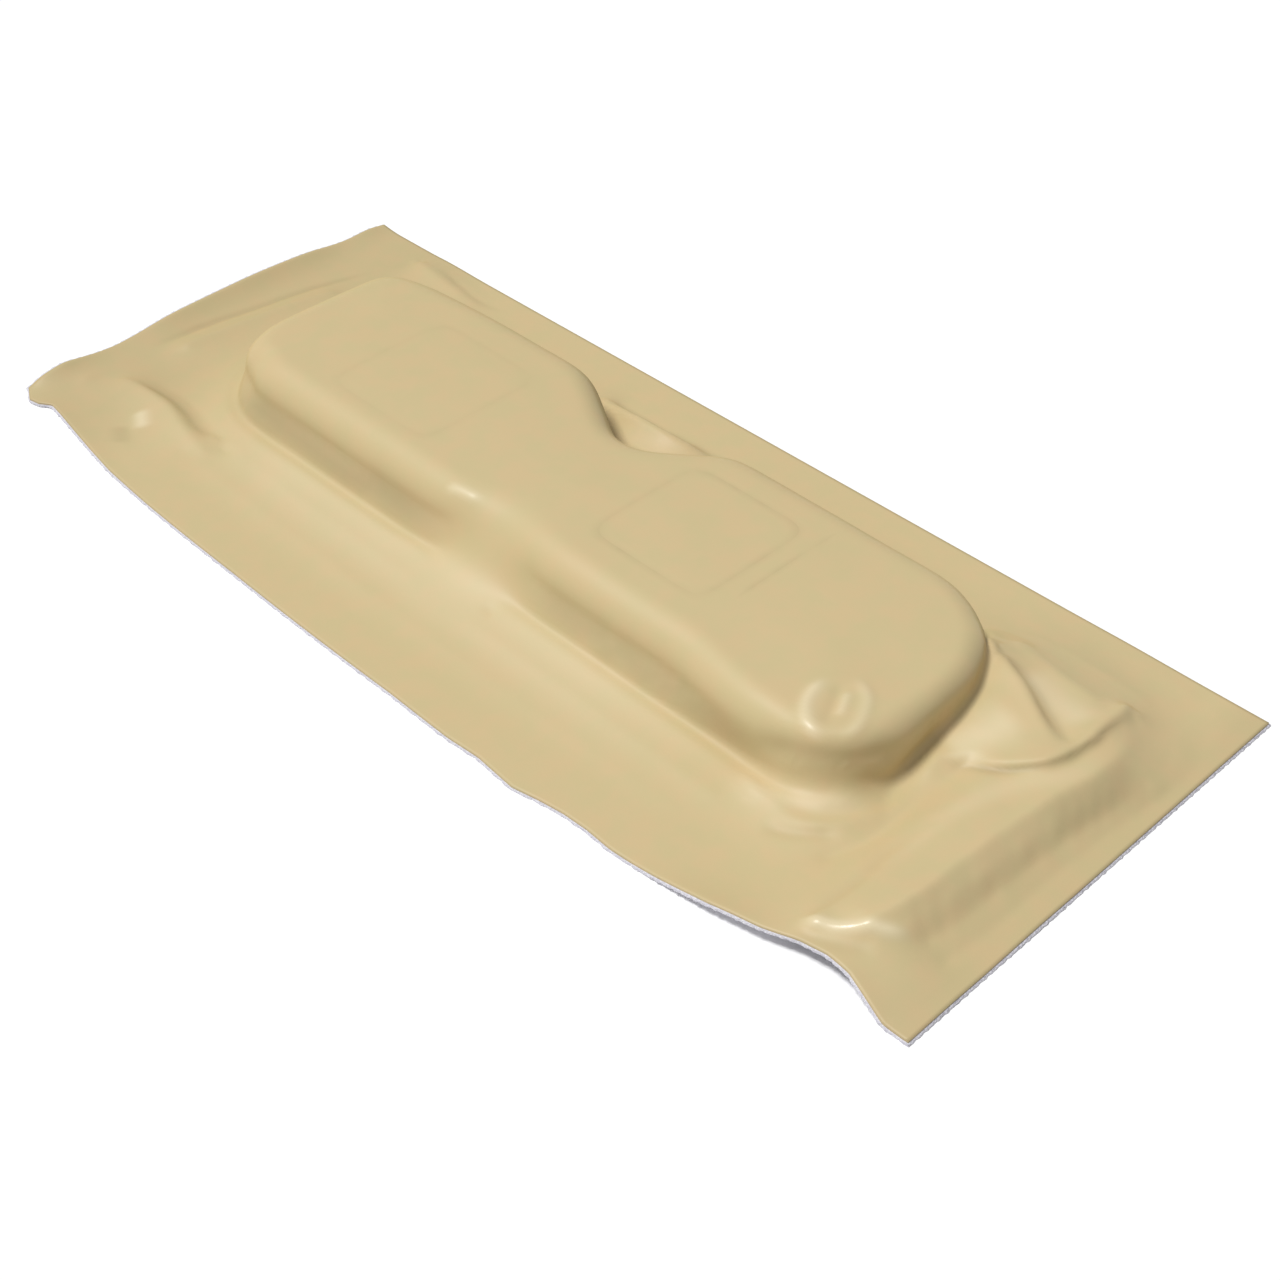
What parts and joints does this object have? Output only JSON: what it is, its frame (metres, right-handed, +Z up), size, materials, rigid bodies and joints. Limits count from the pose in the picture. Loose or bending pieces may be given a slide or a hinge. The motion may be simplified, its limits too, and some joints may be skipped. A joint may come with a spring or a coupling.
{
  "type": "face cradle cushion",
  "caption": "Two-lobed foam pad moulded under a cream vinyl cover sheet with a flat square-cut skirt, to cushion the face on a treatment table.",
  "frame": {"origin": "the middle of the sheet's bounding box, on the surface that it lies on", "axes": "+X along the pad from its left lobe to its right one, +Y from the bowed near edge to the straight far edge, +Z up"},
  "size_m": [0.62, 0.2629, 0.038],
  "materials": {
    "vinyl": "semi-gloss embossed leathercloth, cream to tan",
    "knit": "matt fine knit, pale grey",
    "soft_foam": "matt open-cell foam, cream",
    "firm_foam": "matt open-cell foam, pale blue-grey",
    "insert_foam": "matt slow-recovery foam",
    "plywood": "unfinished thin plywood",
    "loop_tape": "matt loop pile"
  },
  "bodies": {
    "root": {"vinyl_skin": "vinyl", "knit_backing": "knit", "comfort_foam": "soft_foam", "base_foam": "firm_foam", "base_board": "plywood", "insert_left": "insert_foam", "insert_right": "insert_foam", "loop_strip_left": "loop_tape", "loop_strip_right": "loop_tape"}
  },
  "joints": []
}
